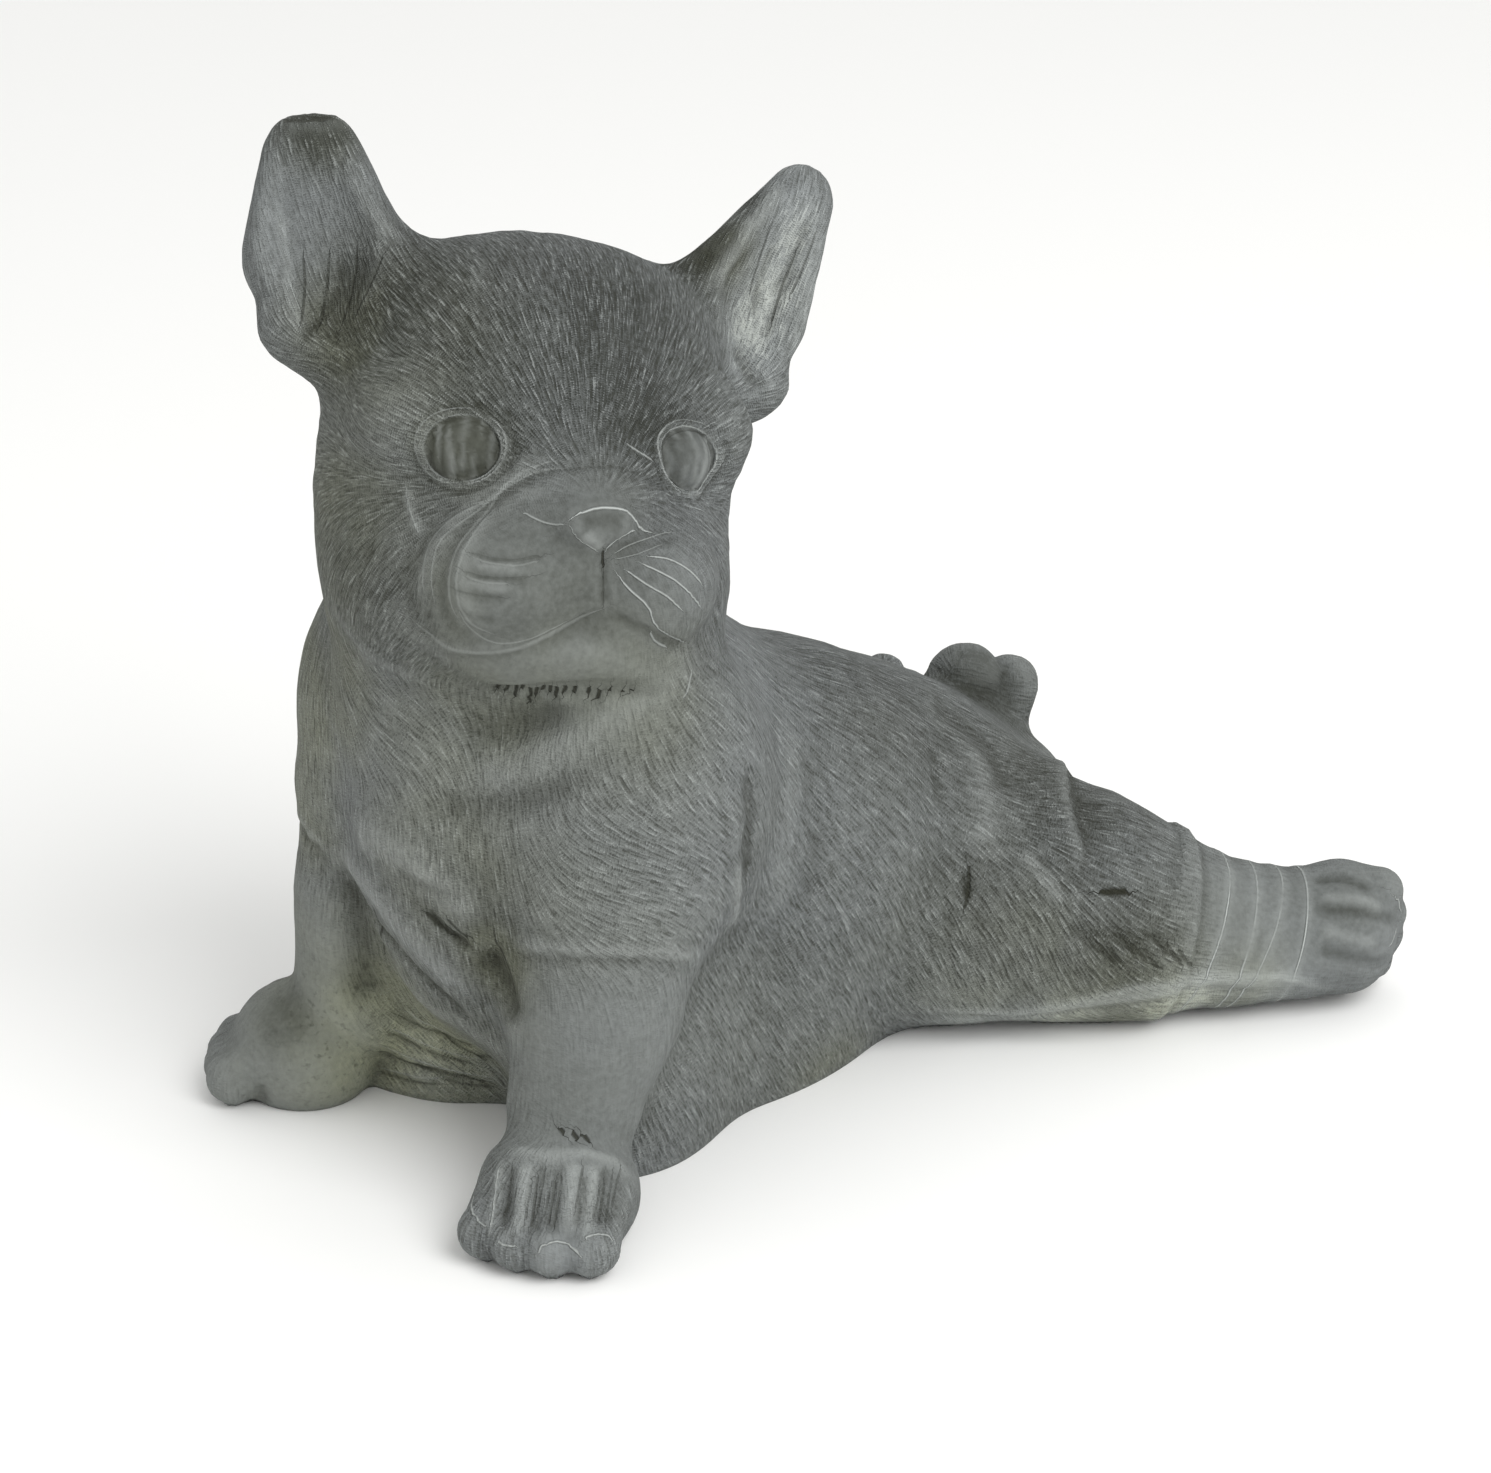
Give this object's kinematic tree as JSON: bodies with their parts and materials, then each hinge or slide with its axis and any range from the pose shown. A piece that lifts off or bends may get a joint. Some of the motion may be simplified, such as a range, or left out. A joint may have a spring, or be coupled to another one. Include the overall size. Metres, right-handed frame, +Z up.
{
  "type": "french bulldog puppy garden statue",
  "caption": "Garden statue of a french bulldog puppy lying with its chest raised on straight forelegs, hind legs stretched out behind and head turned, cut flat underneath.",
  "frame": {"origin": "on the ground, under the middle of the puppy's bounding box", "axes": "+Z up, -Y the way the chest faces, +X the puppy's left side"},
  "size_m": [0.267, 0.3552, 0.3197],
  "materials": {
    "cast_stone": "rough weathered cast stone with green algae in the hollows and pale rubbed ridges"
  },
  "bodies": {
    "root": {"puppy": "cast_stone"}
  },
  "joints": []
}
